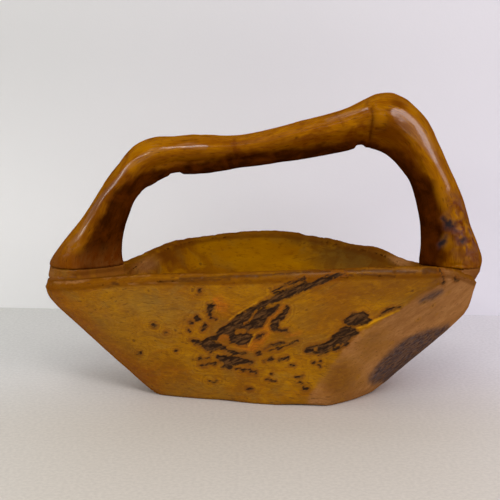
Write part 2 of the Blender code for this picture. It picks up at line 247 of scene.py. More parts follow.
# The bowl: one lump of burl, cut with broad flat facets, hollowed and lacquered. Its surface is the
# node's own, in finer faces, then carved: tool marks, the wavy foot, pockets of dark bark and pits.
BOWL_FACE = 0.0023
BOWL_SHARP_EDGE = math.radians(25)
BOWL_SMOOTHING = 14
BOWL_MIDDLE = np.array([-0.002, 0.0])
RIM_ZONE = (0.078, 0.086)
STUMP_TOP = 0.1034
STUMP_PLACE = (0.0012, 0.1515, -0.0096)
STUMP_STRETCH = 1.6
STUMP_FLARE = 0.0020
BROAD_WAVE = 0.0005
FINE_WAVE = 0.00018
TOOL_MARK_DEPTH = 0.0004
BARK_DEPTH = 0.0006
BARK_ROUGH_DEPTH = 0.0004
BARK_LIP = 0.0002
RIM_WAVES = (0.0009, 0.0004)
RIM_CHIP = 0.0006

# Pockets of bark on the front, read off the photograph: the outlines of the large ones, and the
# cracks and specks, each a line of points with its half width in pixels.
BARK_OUTLINES = (
    ((304, 283.5), (291, 288.5), (284, 290.5), (272, 297), (265, 301), (258, 304.3), (251, 308.2),
     (244, 312), (238.5, 315), (233, 318.7), (228.7, 323), (223, 327), (218, 332), (213, 336.2),
     (209, 337), (211.8, 339.3), (216, 339.5), (219.6, 335.5), (224.5, 334), (228, 335.5), (230, 338.3),
     (231.5, 342.5), (234.3, 343.2), (240, 344.6), (247, 345.3), (250.4, 340.4), (253, 336.2),
     (248.3, 333.6), (249.7, 330), (256, 328.5), (260, 326.4), (263.7, 323), (265.2, 319.4), (268.7, 316),
     (273, 313), (278, 308), (281.3, 303.9), (277, 304), (272, 307.5), (267, 309), (264, 307),
     (268, 304.5), (276, 301), (287, 298), (297, 294), (310, 288), (325, 282.5), (336, 277.5),
     (347, 272.3), (334, 274.5), (320, 278.5)),
    ((254, 339.5), (257, 336.5), (262, 333.3), (264.5, 333), (262, 336.5), (258, 340)),
    ((286, 305.3), (289.7, 308), (288.3, 313), (283.4, 318), (279.2, 321.5), (277, 325.7), (277.8, 329),
     (283.4, 329.6), (287, 328.5), (287, 331), (280, 331.5), (271.5, 330), (270.8, 325.7), (273, 320),
     (277.8, 316), (282.7, 312.4), (285, 309)),
    ((190, 339.5), (195, 340.4), (203, 341.5), (208, 337.5), (212.5, 340.4), (221.7, 344), (226, 347.5),
     (231, 350.5), (240.5, 352.8), (246, 352.3), (240.5, 354.8), (236, 354.2), (229.5, 351.8),
     (224.3, 349.3), (219, 348.8), (213.3, 350), (210.4, 352.3), (207.5, 351.2), (202.3, 346.3),
     (195, 343)),
    ((217, 355.4), (223, 355.8), (231.7, 355.8), (239.8, 357.6), (247.8, 359.4), (253.7, 361.3),
     (252.2, 363.5), (242, 363.5), (236, 364.2), (232.4, 367), (227.3, 368.6), (222, 368), (223.6, 364.2),
     (222, 360.5), (217.7, 358.3)),
    ((208.3, 304.6), (211.8, 303.9), (213.9, 306), (212.5, 310.3), (210, 311.7), (210.4, 315.2),
     (212.5, 318), (216.7, 318.7), (211, 319.6), (207.6, 315.2), (205.5, 312.4), (207.6, 310.3)),
    ((343.9, 321), (347.7, 316.8), (351.9, 313.3), (359.6, 312.6), (363.2, 311.2), (365.3, 313.3),
     (368.8, 315), (368, 318.2), (371, 319.6), (365.3, 323.8), (357.5, 325), (351.9, 325.2),
     (345.6, 324.2)),
    ((344.9, 326.7), (350.5, 327), (355.4, 328.8), (358.2, 332.3), (356, 335.8), (352, 338),
     (348.4, 341.4), (345.6, 345.6), (341.4, 348.4), (336.5, 350.5), (331.6, 349), (328, 352), (321, 354),
     (314, 353.3), (306.3, 353.3), (304.9, 350.5), (306.3, 347.7), (312.6, 346.3), (319.6, 344.2),
     (326.7, 342), (331.6, 338.6), (335.8, 333.7), (339.3, 329.5)),
    ((377.2, 316.8), (382, 313.3), (386.3, 309.8), (392.6, 306.7), (399.6, 307), (394, 309.8),
     (387.7, 311.8)),
)
BARK_STROKES = (
    ((272.5, 291, 0.5), (286, 285.3, 0.9), (304, 279.3, 0.5)),
    ((274, 293.5, 0.5), (290, 287.5, 0.8), (306, 281.5, 0.4)),
    ((285, 283.5, 0.4), (305, 277.3, 0.5)),
    ((257.5, 353.3, 1.4), (259, 353, 1.2)),
    ((264, 349, 0.6), (272.8, 344.6, 1.4), (279.4, 343, 1.6), (284, 343, 0.6)),
    ((268, 350.5, 0.4), (280, 348.6, 0.7), (287, 345, 0.5), (298, 341, 0.4)),
    ((199.4, 358, 0.5), (209.7, 357.6, 0.7)),
    ((200.1, 364.9, 0.6), (206, 365.3, 0.8), (216.3, 362.7, 0.7)),
    ((236, 368.8, 0.5), (250, 369.4, 0.6)),
    ((250.8, 371.9, 1.4), (255.9, 371.9, 1.3)),
    ((264, 361, 0.7), (272, 359, 0.9)),
    ((279.4, 359.8, 0.9), (286.7, 358, 1.1)),
    ((291, 365, 0.5), (295, 365.4, 0.8)),
    ((271, 373.4, 0.8), (272, 373.4, 0.7)),
    ((295.5, 376.7, 0.6), (302.8, 376, 0.9)),
    ((299.5, 382, 0.9), (301, 382.3, 0.8)),
    ((266, 379.5, 0.4), (276, 381, 0.6)),
    ((248.5, 388.4, 0.7), (252, 388.8, 0.5)),
    ((209, 380.3, 0.4), (214, 383.2, 0.7), (217.7, 380.3, 0.4)),
    ((304.5, 388.2, 1.0), (306.5, 388.2, 0.8)),
    ((196.5, 318, 2.0), (199, 319, 1.6)),
    ((191, 322.5, 1.4), (192, 323, 1.0)),
    ((205.5, 325.5, 1.6), (202.5, 330, 1.6)),
    ((189, 330.5, 1.0), (190, 331, 0.8)),
    ((199.2, 290.3, 0.9), (199.8, 291.2, 0.8)),
    ((315, 362, 0.9), (313, 363, 0.8)),
    ((320, 360.5, 1.0), (321, 361, 0.8)),
    ((319.5, 365.5, 0.9), (320.5, 366, 0.8)),
    ((153, 325, 1.4), (156, 326, 1.0)),
    ((165, 333, 0.8), (168, 333, 0.7)),
    ((138, 352.5, 1.0), (140, 353, 0.7)),
    ((176, 351, 1.1), (177, 351.5, 0.9)),
    ((455, 279, 1.4), (457, 279.5, 1.0)),
    ((440.3, 271, 0.6), (444, 280.6, 0.5), (442.8, 284.2, 0.4)),
)

# Dips of the rim's back edge and lifts of the base's front edge: middle, half width and size.
RIM_DIPS = (
    (0.040, 0.009, 0.0014), (0.052, 0.012, 0.0012), (0.102, 0.024, -0.0034), (-0.092, 0.030, -0.0018),
)
BASE_LIFTS = ((220, 22, 0.0011), (303, 28, 0.0010), (180, 10, 0.0004))

# Islands of sound wood inside the bark, wood that shines orange round it, and thin bright lines.
SOUND_WOOD = (
    ((237.5, 331.3, 3.2), (242.5, 331, 3.2)),
    ((261.6, 308.3, 0.5), (256.7, 311, 0.9), (253.2, 314.5, 1.0), (251, 318, 0.9), (249, 321.3, 1.3),
     (245, 323, 1.7)),
    ((248, 332.9, 0.5), (263, 332.5, 0.5)),
    ((316, 349.8, 1.6), (317, 349.8, 1.4)),
    ((334.5, 347, 1.1), (338, 344.8, 1.1)),
    ((339.5, 347.5, 0.7), (343, 344, 0.9)),
)
EMBER = (
    ((219, 301, 6), (221, 306, 6)),
    ((284, 306, 1), (275, 314, 2), (266, 322, 3), (266, 331, 5), (259, 341, 5), (251, 347, 4),
     (236, 346, 2)),
    ((219, 338, 2), (226, 337, 3)),
    ((287, 336, 1), (300, 333, 1)),
)
BRIGHT_LINES = (
    ((357, 328, 0.3), (367, 325, 0.6), (374, 321, 1.0), (386.3, 314.9, 1.2), (399, 310, 0.4)),
    ((248.5, 346, 0.1), (254.6, 334.5, 0.2)),
    ((229, 320, 0), (243, 310.5, 0.2), (256, 303, 0)),
)

# Fine lines along the rim's front: pale ones, painted highlights where its edges catch the light, and dark
# ones under them.
RIM_LIGHT = (
    ((48.4, 281.3, 0.6), (60, 282.5, 1.2), (80, 281, 1.2), (96, 279.5, 0.8), (124, 276.5, 0.4),
     (150, 275.4, 0.2)),
    ((180, 275.3, 0.1), (241, 273.6, 0.2), (272, 272.2, 0.2), (302, 270.2, 0.3), (333, 268.6, 0.3)),
    ((333, 268.6, 0.3), (361, 267.9, 0.2), (394, 267.3, 0.2), (416, 268.2, 0.2)),
    ((290, 274.6, 0.0), (333, 273.4, 0.1), (361, 272.4, 0.1), (394, 273.4, 0.2), (416, 275.5, 0.5),
     (425, 275.3, 0.9)),
    ((128, 283.8, 0.3), (160, 283, 0.2), (198, 282.6, 0.4), (215, 282.2, 0.1)),
    ((440, 272, 0.4), (447.6, 271, 0.6), (459.7, 271.5, 0.6), (469.4, 274.5, 0.5), (476.7, 279.4, 0.4)),
)
RIM_DARK = (
    ((50, 279.5, 0.3), (75, 277.6, 0.6), (100, 275.6, 0.4)),
    ((180, 278.6, 0.7), (215, 277.4, 0.7), (245, 276.4, 0.9), (262, 275.4, 0.7), (300, 272.4, 0.6),
     (330, 271.4, 0.6)),
    ((160, 281, 0.5), (195, 280.4, 0.6), (230, 279.8, 0.4)),
    ((345, 270.6, 0.8), (372, 270.8, 0.9), (400, 271.4, 0.8), (415, 272.4, 0.5)),
    ((330, 275.6, 0.6), (362, 274.6, 0.7), (395, 275.6, 0.6)),
    ((113, 283, 0.9), (118, 284, 0.7)),
    ((424, 271, 2.0), (430, 270.5, 3.0), (437, 271.5, 2.0)),
)

# The ridge between the front and the facet at its right, from the rim to the base, and the stain
# that the facet has along its lower edge.
FACET_RIDGE = (
    (441, 427, 413, 405, 386, 369, 358, 349, 342, 339, 330, 327, 320, 308),
    (284, 292, 300.5, 306, 317, 328, 333, 342, 350.5, 356, 366, 373, 380, 398),
)
STAIN = (
    ((374, 379, 5), (384, 373, 10.0), (396, 363, 12), (412, 350, 13), (430, 340, 10), (447, 329, 4)),
    ((421, 301, 1.5), (432, 296, 2.5), (441, 291.5, 1.5)),
)

# Soft patches of colour: middle, reach along and across, turn in degrees, and strength.
GOLD_PATCHES = (
    (106, 295, 15, 9, -25, 1), (130, 335, 40, 22, 10, 0.6), (312, 370, 44, 24, -25, 1),
    (285, 316, 45, 24, -30, 0.5), (190, 350, 40, 30, 10, 0.6),
)
OLIVE_PATCHES = ((150, 305, 70, 26, 10, 1), (115, 332, 60, 34, 30, 0.8), (190, 390, 50, 14, 5, 0.6))
UMBER_PATCHES = (
    (385, 287, 95, 24, -8, 1), (325, 316, 60, 28, -20, 0.7), (270, 352, 40, 14, -10, 0.5),
    (300, 328, 34, 20, 0, 0.4),
)
SLANT_PATCHES = ((300, 312, 95, 46, -25, 1), (390, 300, 90, 30, -25, 1))
FACET_DARK_PATCHES = ((338, 378, 36, 40, 20, 1), (371, 345, 34, 24, -45, 0.6))
AMBER_INSIDE = ((245, 252, 80, 34, 0, 1), (285, 264, 50, 20, 0, 0.9))
OLIVE_INSIDE = ((352, 256, 60, 26, 0, 1), (310, 240, 40, 10, 0, 0.6))
SMUDGES_INSIDE = ((168, 260, 13, 10, 0, 1), (145, 266, 24, 10, 0, 0.25))
# Pale patches at the bowl's ends; the one at the left end is a painted highlight.
PALE_ENDS = ((145, 266, 22, 11, -20, 0.6), (400, 262, 20, 8, 10, 1), (60, 272, 26, 8, -8, 0.55))


def read_vectors(source, name):
    """One vector for each vertex, from the mesh's vertices or its vertex normals."""
    vectors = np.empty(len(source) * 3, np.float32)
    source.foreach_get(name, vectors)
    return vectors.reshape(-1, 3).astype(float)


def move_vertices(mesh, places):
    mesh.vertices.foreach_set("co", places.astype(np.float32).ravel())
    mesh.update()


def even_faces(node, face):
    """The node's surface again, in small square faces."""
    copy = bpy.data.objects.new("copy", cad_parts[node].data.copy())
    scene.collection.objects.link(copy)
    remesh = copy.modifiers.new("even_faces", "REMESH")
    remesh.mode = "VOXEL"
    remesh.voxel_size = face
    mesh = bpy.data.meshes.new_from_object(copy.evaluated_get(bpy.context.evaluated_depsgraph_get()))
    bpy.data.objects.remove(copy)
    return mesh


def split_faces(mesh, chosen, cuts):
    """Smaller faces between the chosen vertices."""
    bm = bmesh.new()
    bm.from_mesh(mesh)
    edges = [edge for edge in bm.edges if chosen[edge.verts[0].index] and chosen[edge.verts[1].index]]
    bmesh.ops.subdivide_edges(bm, edges=edges, cuts=cuts, use_grid_fill=True)
    bmesh.ops.triangulate(bm, faces=[face for face in bm.faces if len(face.verts) > 4])
    bm.to_mesh(mesh)
    bm.free()


def node_surface(node, sharp_edge):
    """The node's surface to lay points on, and points along its sharp edges."""
    bm = bmesh.new()
    bm.from_mesh(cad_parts[node].data)
    bmesh.ops.remove_doubles(bm, verts=bm.verts, dist=1e-6)
    surface = BVHTree.FromBMesh(bm)
    marks = []
    for edge in bm.edges:
        if len(edge.link_faces) == 2 and edge.calc_face_angle(0) > sharp_edge:
            start, end = (vertex.co.copy() for vertex in edge.verts)
            count = max(2, int((end - start).length / 0.0005) + 1)
            marks += [start.lerp(end, k / (count - 1)) for k in range(count)]
    bm.free()
    tree = KDTree(len(marks))
    for index, mark in enumerate(marks):
        tree.insert(mark, index)
    tree.balance()
    return surface, tree


def laid_on(surface, places):
    return np.array([surface.find_nearest(place)[0] for place in places])


def edge_distance(tree, places):
    return np.array([tree.find(place)[2] for place in places])


def drawn_to_edges(tree, places, chosen, reach):
    """The chosen places that lie within reach of a sharp edge, moved onto it."""
    for index in np.flatnonzero(chosen):
        mark, _, distance = tree.find(places[index])
        if distance < reach:
            places[index] = mark
    return places


def smoothed(mesh, places, passes, share, back=0.57):
    """Places eased towards their neighbours and back, so that facets soften and nothing shrinks."""
    pairs = np.empty(len(mesh.edges) * 2, np.int32)
    mesh.edges.foreach_get("vertices", pairs)
    first, second = pairs.reshape(-1, 2).T
    count = np.bincount(pairs, minlength=len(places))[:, None]
    for step in range(2 * passes):
        total = np.zeros_like(places)
        for axis in range(3):
            total[:, axis] = np.bincount(first, places[second, axis], len(places))
            total[:, axis] += np.bincount(second, places[first, axis], len(places))
        pull = 0.55 if step % 2 == 0 else -back
        places = places + (total / count - places) * pull * share[:, None]
    return places


def cloud(places, size, seed, octaves=2):
    """Smooth random values between about -1 and 1, in lumps of the given size."""
    shift = Vector((7.3 * seed, 3.1 * seed, 5.7 * seed))
    scaled = places / size
    return np.array([noise.fractal(Vector(place) + shift, 1.0, 2.0, octaves) for place in scaled])


def cells(places, size, seed):
    """Flat-faced random facets: for each place how far it is inside its own facet, from 0 up."""
    shift = Vector((4.1 * seed, 8.7 * seed, 2.9 * seed))
    nearest_two = [noise.voronoi(Vector(place) + shift)[0][:2] for place in places / size]
    return np.array([second - first for first, second in nearest_two])


def ease(value, low, high):
    share = np.clip((value - low) / (high - low), 0, 1)
    return share * share * (3 - 2 * share)


def line_gap(seen, start, end):
    """How far places in the photograph are from a straight line, and how far along it, from 0 to 1."""
    run, fall = end[0] - start[0], end[1] - start[1]
    right, below = seen[0] - start[0], seen[1] - start[1]
    along = np.clip((right * run + below * fall) / (run * run + fall * fall), 0, 1)
    return np.hypot(right - along * run, below - along * fall), along


def stroke_distance(seen, strokes):
    """How far places in the photograph lie outside the nearest stroke, in pixels. Inside is negative."""
    nearest = np.full(len(seen[0]), 40.0)
    for stroke in strokes:
        for start, end in zip(stroke, stroke[1:]):
            gap, along = line_gap(seen, start, end)
            nearest = np.minimum(nearest, gap - start[2] - along * (end[2] - start[2]))
    return nearest


def outline_distance(seen, outlines):
    """The same for closed outlines."""
    across, down = seen
    nearest = np.full(len(across), 40.0)
    for outline in outlines:
        gap = np.full(len(across), 40.0)
        within = np.zeros(len(across), bool)
        for start, end in zip(outline, outline[1:] + outline[:1]):
            gap = np.minimum(gap, line_gap(seen, start, end)[0])
            (u0, v0), (u1, v1) = start, end
            if v1 != v0:
                level_with = (v0 > down) != (v1 > down)
                within ^= level_with & (across < u0 + (u1 - u0) * (down - v0) / (v1 - v0))
        nearest = np.minimum(nearest, np.where(within, -gap, gap))
    return nearest


def covered(seen, strokes, outer, inner):
    """How far strokes cover places: 0 from the outer distance outwards, 1 from the inner one inwards."""
    return ease(stroke_distance(seen, strokes), outer, inner)


def bark_distance(seen):
    """How far places in the photograph lie outside the bark, in pixels."""
    outside = stroke_distance(seen, BARK_STROKES)
    outside = np.minimum(outside, outline_distance(seen, BARK_OUTLINES))
    return np.maximum(outside, -stroke_distance(seen, SOUND_WOOD))


def patches(seen, ovals):
    """Soft ovals in the photograph: each one's strength at its middle, 0 outside them all."""
    strongest = np.zeros(len(seen[0]))
    for middle_u, middle_v, reach_u, reach_v, turn, strength in ovals:
        cosine, sine = math.cos(math.radians(turn)), math.sin(math.radians(turn))
        right, below = seen[0] - middle_u, seen[1] - middle_v
        far = np.hypot((right * cosine + below * sine) / reach_u, (below * cosine - right * sine) / reach_v)
        strongest = np.maximum(strongest, strength * ease(far, 1.0, 0.15))
    return strongest


def keep_values(mesh, values):
    """Keeps one number for each vertex under each name, for the material to read."""
    for name, numbers in values.items():
        attribute = mesh.attributes.new(name, "FLOAT", "POINT")
        attribute.data.foreach_set("value", numbers.astype(np.float32))


bowl_mesh = even_faces("bowl", BOWL_FACE)
bowl_surface, bowl_edges = node_surface("bowl", BOWL_SHARP_EDGE)
places = read_vectors(bowl_mesh.vertices, "co")
normals = read_vectors(bowl_mesh.vertex_normals, "vector")
near_front = (normals[:, 1] < -0.25) & (places[:, 1] < -0.03)
split_faces(bowl_mesh, near_front & (bark_distance(photo_place(places)) < 7), 2)
places = read_vectors(bowl_mesh.vertices, "co")
near_edge = (edge_distance(bowl_edges, places) < 0.006) & (places[:, 2] > 0.07)
split_faces(bowl_mesh, near_edge & (bark_distance(photo_place(places)) > 9), 1)
places = laid_on(bowl_surface, read_vectors(bowl_mesh.vertices, "co"))
crisp = edge_distance(bowl_edges, places)
places = smoothed(bowl_mesh, places, BOWL_SMOOTHING, ease(crisp, 0.001, 0.006))
places = drawn_to_edges(bowl_edges, places, places[:, 2] > RIM_ZONE[0], 0.0008)
move_vertices(bowl_mesh, places)
normals = read_vectors(bowl_mesh.vertex_normals, "vector")
across, down = seen = photo_place(places)

x, y, z = places.T
outward = np.sum(normals[:, :2] * (places[:, :2] - BOWL_MIDDLE), axis=1)
inside = ease(-outward, -0.002, 0.004) * ease(normals[:, 2], -0.2, 0.1)
front = ease(-normals[:, 1], 0.2, 0.35) * ease(-y, 0.02, 0.03) * (1 - inside)
wobble_u = 0.8 * cloud(places, 0.005, 1) + 0.5 * cloud(places, 0.002, 2)
wobble_v = 0.6 * cloud(places, 0.005, 3) + 0.4 * cloud(places, 0.002, 4)
wobbly = across + wobble_u, down + wobble_v
bark = bark_distance(wobbly)
bark = np.where(front > 0.5, bark, 40)
back_bark = (0.62 - cloud(places * (1, 1, 2.2), 0.034, 5, 4)) * 22 + 30 * ease(z, *RIM_ZONE)
bark = np.minimum(bark, np.where((front > 0.02) | (inside > 0.02), 40, back_bark))
bark = np.clip(bark, -8, 20)

tool_marks = cells(places * (1, 1, 1.3), 0.024, 6)
height = BROAD_WAVE * cloud(places, 0.05, 7) + FINE_WAVE * cloud(places, 0.012, 8)
height += TOOL_MARK_DEPTH * (tool_marks - 0.3) * (1 - 0.75 * front)
height -= ease(-bark, -0.3, 1.6) * (BARK_DEPTH + BARK_ROUGH_DEPTH * cloud(places, 0.0025, 9))
height += BARK_LIP * ease(bark, 2.6, 0.6) * ease(bark, -0.4, 0.5)
height *= ease(z, 0.0, 0.004)
middle, apart, forward = STUMP_PLACE
stump = np.hypot((np.abs(x - middle) - apart) / STUMP_STRETCH, y - forward)
stump = ease(stump, 0.026, 0.022) * ease(z, 0.088, 0.095)
height += STUMP_FLARE * ease(z, 0.102, 0.092) * stump * ease(-x, 0.150, 0.170)
height *= 1 - stump * ease(np.abs(z - STUMP_TOP), 0.004, 0.0004)
places = places + normals * height[:, None]
x, y, z = places.T

rim_share = ease(edge_distance(bowl_edges, places), 0.012, 0.001) * ease(z, *RIM_ZONE)
dips = np.zeros(len(places))
for middle, half_width, depth in RIM_DIPS:
    dips += depth * ease(np.abs(x - middle), half_width, 0)
level = places * (1, 1, 0.2)
waves = RIM_WAVES[0] * cloud(level, 0.018, 21) + RIM_WAVES[1] * cloud(level, 0.006, 22)
z += rim_share * ease(y, 0.0, 0.03) * (waves - dips)
chips = ease(cloud(places * (1, 1, 0.5), 0.007, 23), 0.25, 0.6)
z += rim_share * ease(-y, 0.0, 0.03) * (0.4 * waves - RIM_CHIP * chips)
lifts = np.zeros(len(places))
for middle, half_width, lift in BASE_LIFTS:
    lifts += lift * ease(np.abs(across - middle), half_width, 0.3 * half_width)
z += lifts * ease(z, 0.009, 0.0) * ease(-y, 0.05, 0.065)
low, high = (np.array(corner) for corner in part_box("bowl"))
places = np.clip(places, low, high)
x, y, z = places.T
move_vertices(bowl_mesh, places)

side_facet = ease(wobbly[0] - np.interp(wobbly[1], *FACET_RIDGE[::-1]), -2.5, 3.5)
dark_strip = patches(seen, FACET_DARK_PATCHES)
pale_ends = patches(seen, PALE_ENDS)
rim_band = ease(edge_distance(bowl_edges, places), 0.0045, 0.002) * ease(z, 0.08, 0.09)
deck = ease(normals[:, 2], 0.45, 0.8) * ease(z, 0.075, 0.085)
front_rim = ease(-y, 0.02, 0.03) * ease(z, 0.07, 0.08)
# Breaks in the rim's painted highlights: patchy, and fading out to the right.
highlight_breaks = ease(cloud(places, 0.011, 24), -0.35, 0.25) * ease(across, 300, 120)
rust = ease(down - 300 - 0.90 * (across - 62), -16, 2) * ease(across, 170, 150)
gold = patches(seen, GOLD_PATCHES) * (1 - side_facet)
umber = patches(seen, UMBER_PATCHES) * (1 - side_facet)
dry_and_highlight = side_facet * front * (1 - 0.9 * dark_strip)
bowl_values = {
    "bark": bark,
    "inside": inside,
    "gold": gold * front + patches(seen, AMBER_INSIDE) * inside,
    "olive": patches(seen, OLIVE_PATCHES) * front + patches(seen, OLIVE_INSIDE) * inside,
    "ember": covered(wobbly, EMBER, 2.5, -1.5) * front,
    "bright": covered(seen, BRIGHT_LINES, 1.2, -0.2) * front,
    "rim_light": covered(seen, RIM_LIGHT, 0.6, -0.4) * front_rim * highlight_breaks,
    "rim_dark": covered(seen, RIM_DARK, 1.3, -0.3) * front_rim,
    "smudge": patches(seen, SMUDGES_INSIDE) * inside,
    # Pale matt wood: the bare facet at the right, and the pale patches at the ends, the left one a painted
    # highlight.
    "dry_and_highlight": dry_and_highlight + pale_ends * (1 - front_rim) * (1 - side_facet),
    "umber": np.maximum(umber, dark_strip * side_facet) * front,
    "stain": covered((across + 2 * wobble_u, down + 2 * wobble_v), STAIN, 4, -3) * front,
    "slant": patches(seen, SLANT_PATCHES) * front,
    "rim": np.maximum(0.8 * rim_band, deck) * (1 - stump) * (1 - 0.9 * pale_ends),
    "stump": stump * (1 - pale_ends),
    "rust": rust * front,
}
keep_values(bowl_mesh, bowl_values)


def new_group(name, inputs, outputs):
    """A node group: its inputs by name, each with its usual value, and its outputs' names."""
    group = bpy.data.node_groups.new(name, "ShaderNodeTree")
    group.interface.new_socket("Vector", in_out="INPUT", socket_type="NodeSocketVector")
    for label, usual in inputs.items():
        socket = group.interface.new_socket(label, in_out="INPUT", socket_type="NodeSocketFloat")
        socket.default_value = usual
    for label in outputs:
        group.interface.new_socket(label, in_out="OUTPUT", socket_type="NodeSocketFloat")
    return group, put(group, "NodeGroupInput")


def vector_of(tree, operation, first, second):
    """The result of a Vector Math node."""
    key = "Scale" if operation == "SCALE" else 1
    return put(tree, "VectorMath", {0: first, key: second}, operation=operation)[0]


def shaken(tree, place, scale, size):
    """The place, moved about by noise."""
    way = vector_of(tree, "SUBTRACT", noise_at(tree, place, scale, 3.0)[1], (0.5, 0.5, 0.5))
    return vector_of(tree, "ADD", place, vector_of(tree, "SCALE", way, size))


def wood_figure_group():
    """Wood grain that runs along the X of its vector: broad bands, curl, fine fibres and short pores."""
    sizes = {"Fibre Size": 0.0011, "Band Size": 0.012, "Stretch": 9.0, "Swirl": 0.01}
    group, given = new_group("wood_figure", sizes, ("Bands", "Curl", "Fibres", "Pores"))
    bent = shaken(group, given["Vector"], 28.0, given["Swirl"])

    def stretched_noise(size, size_share, stretch_share, detail, roughness):
        across_grain = maths(group, "DIVIDE", 1.0 / size_share, given[size])
        along_grain = maths(group, "DIVIDE", across_grain, product(group, given["Stretch"], stretch_share))
        axes = {0: along_grain, 1: across_grain, 2: across_grain}
        scale = put(group, "CombineXYZ", axes)[0]
        return noise_at(group, vector_of(group, "MULTIPLY", bent, scale), 1.0, detail, roughness)[0]

    result = {
        "Bands": ramp(group, stretched_noise("Band Size", 1.0, 0.3, 4.0, 0.6), 0.34, 0.66),
        "Curl": ramp(group, stretched_noise("Band Size", 0.3, 0.25, 3.0, 0.6), 0.36, 0.64),
        "Fibres": ramp(group, stretched_noise("Fibre Size", 1.0, 1.0, 3.0, 0.6), 0.38, 0.64),
        "Pores": ramp(group, stretched_noise("Fibre Size", 1.4, 0.5, 1.0, 0.5), 0.64, 0.72),
    }
    put(group, "NodeGroupOutput", result)
    return group


def burl_eye_group():
    """Small dark eyes with a paler ring, scattered in burl."""
    group, given = new_group("burl_eyes", {"Spacing": 0.012, "Share": 0.4}, ("Eyes", "Rings"))
    scale = maths(group, "DIVIDE", 1.0, given["Spacing"])
    place = shaken(group, given["Vector"], 260.0, 0.0045)
    cell = put(group, "TexVoronoi", {"Vector": place, "Scale": scale})
    chance = put(group, "SeparateColor", {0: cell["Color"]})[0]
    here = maths(group, "LESS_THAN", chance, given["Share"])
    eyes = ramp(group, cell["Distance"], 0.17, 0.06)
    rings = maths(group, "SUBTRACT", ramp(group, cell["Distance"], 0.40, 0.14), eyes)
    put(group, "NodeGroupOutput", {"Eyes": product(group, eyes, here), "Rings": product(group, rings, here)})
    return group


def bark_group():
    """A pocket of bark along the X of its vector: from the distance to its outline, in pixels, to its
    ragged inside, its edge, and the pale and dark streaks in it."""
    group, given = new_group("bark_pocket", {"Distance": 0.0}, ("Inside", "Edge", "Streaks"))
    coarse = noise_at(group, given["Vector"], 260.0, 2.0)[0]
    lengthways = vector_of(group, "MULTIPLY", given["Vector"], (0.10, 1, 1))
    streaks = noise_at(group, lengthways, 560.0, 3.0, 0.55)[0]
    ragged = maths(group, "SUBTRACT", given["Distance"], 5.3)
    ragged = maths(group, "MULTIPLY_ADD", coarse, 4.0, ragged)
    ragged = maths(group, "MULTIPLY_ADD", streaks, 6.0, ragged)
    within = ramp(group, ragged, 1.3, -1.1)
    edge = product(group, ramp(group, ragged, 3.6, 0.3), maths(group, "SUBTRACT", 1.0, within))
    streaks = ramp(group, streaks, 0.40, 0.64)
    put(group, "NodeGroupOutput", {"Inside": within, "Edge": edge, "Streaks": streaks})
    return group


wood_figure = wood_figure_group()
burl_eyes = burl_eye_group()
bark_pocket = bark_group()

BURL_GOLD = paint(172, 116, 0)
BURL_OCHRE = paint(148, 90, 2)
BURL_BROWN = paint(112, 66, 8)
BURL_RUST = paint(136, 68, 10)
BURL_UMBER = paint(110, 63, 12)
BURL_OLIVE = paint(132, 102, 42)
BURL_EMBER = paint(184, 98, 14)
BURL_SPARK = paint(204, 144, 10)
BURL_DRY = paint(176, 124, 74)
BURL_DRY_DARK = paint(138, 92, 50)
BURL_STAIN = paint(84, 71, 70)
BURL_STAIN_DARK = paint(66, 48, 40)
BURL_RIM = paint(98, 52, 8)
BURL_CRACK = paint(72, 40, 14)
BURL_RIM_LIGHT = paint(176, 126, 80)
BURL_STUMP = paint(112, 64, 22)
BURL_INNER = paint(106, 58, 8)
BURL_SHADY = paint(92, 62, 20)
BARK_DARK = paint(46, 31, 20)
BARK_BROWN = paint(104, 70, 38)
BARK_EDGE = paint(120, 66, 14)
WOOD_TINT = (1, 0.66, 0.30, 1)
FRONT_STREAK_WAY = Vector((0.88, 0, 0.47))
FACET_GRAIN_WAY = Vector((0.60, 0.42, 0.55))


def turned_to(tree, place, way):
    """The place, turned so that the given way in the world is its X."""
    turn = way.normalized().rotation_difference(Vector((1, 0, 0))).to_euler()
    return put(tree, "Mapping", {"Vector": place, "Rotation": tuple(turn)})[0]


def grain_in(tree, place, fibre, band, stretch, swirl):
    """The wood figure in a material, with its own sizes in metres."""
    inputs = {"Vector": place, "Fibre Size": fibre, "Band Size": band, "Stretch": stretch, "Swirl": swirl}
    return put(tree, "Group", inputs, node_tree=wood_figure)


def eyes_in(tree, place, spacing, share):
    inputs = {"Vector": place, "Spacing": spacing, "Share": share}
    return put(tree, "Group", inputs, node_tree=burl_eyes)


def kept_values(tree, names):
    """The numbers kept on the mesh, by their names."""
    return {name: put(tree, "Attribute", attribute_name=name)["Fac"] for name in names}


def three_noises(tree, place, *settings):
    """Three unlike noises: the channels of a noise's colour."""
    return put(tree, "SeparateColor", {0: noise_at(tree, place, *settings)[1]})


def layered(tree, colour, *layers):
    """A colour with others laid over it, each given as a mask, its strength and the colour."""
    for mask, strength, shade in layers:
        colour = mixed(tree, product(tree, mask, strength), colour, shade)
    return colour


def added(tree, total, *parts):
    """A value with others added, each given with its share."""
    for value, share in parts:
        total = maths(tree, "MULTIPLY_ADD", value, share, total)
    return total


def wood_surface(tree, inputs):
    """The shader that ends a material, with what feeds it."""
    put(tree, "OutputMaterial", {"Surface": put(tree, "BsdfPrincipled", inputs)[0]})


